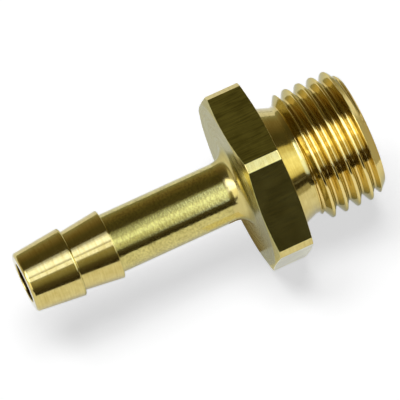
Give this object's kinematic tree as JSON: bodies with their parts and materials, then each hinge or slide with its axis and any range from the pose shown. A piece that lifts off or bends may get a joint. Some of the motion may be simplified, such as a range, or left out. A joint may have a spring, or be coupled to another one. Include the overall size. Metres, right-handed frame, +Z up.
{
  "type": "hose barb tail",
  "caption": "One-piece turned brass hose tail with a barbed stem, a chamfered hexagon and a male parallel pipe thread, bored straight through.",
  "frame": {"origin": "on the fitting's axis, in the plane of the hexagon's sealing face, where the threaded end begins", "axes": "+X along the axis towards the threaded end, with the barbed tip at -X; +Z up, normal to the hexagon's top flat, with the opposite flat underneath; +Y across the hexagon's corners"},
  "size_m": [0.0355, 0.019, 0.017],
  "materials": {
    "brass": "bare turned brass, bright on the barbs and the chamfers, finely grained on the stem and streaked along the flats of the drawn hexagon"
  },
  "bodies": {
    "root": {"hose_barb_tail": "brass"}
  },
  "joints": []
}
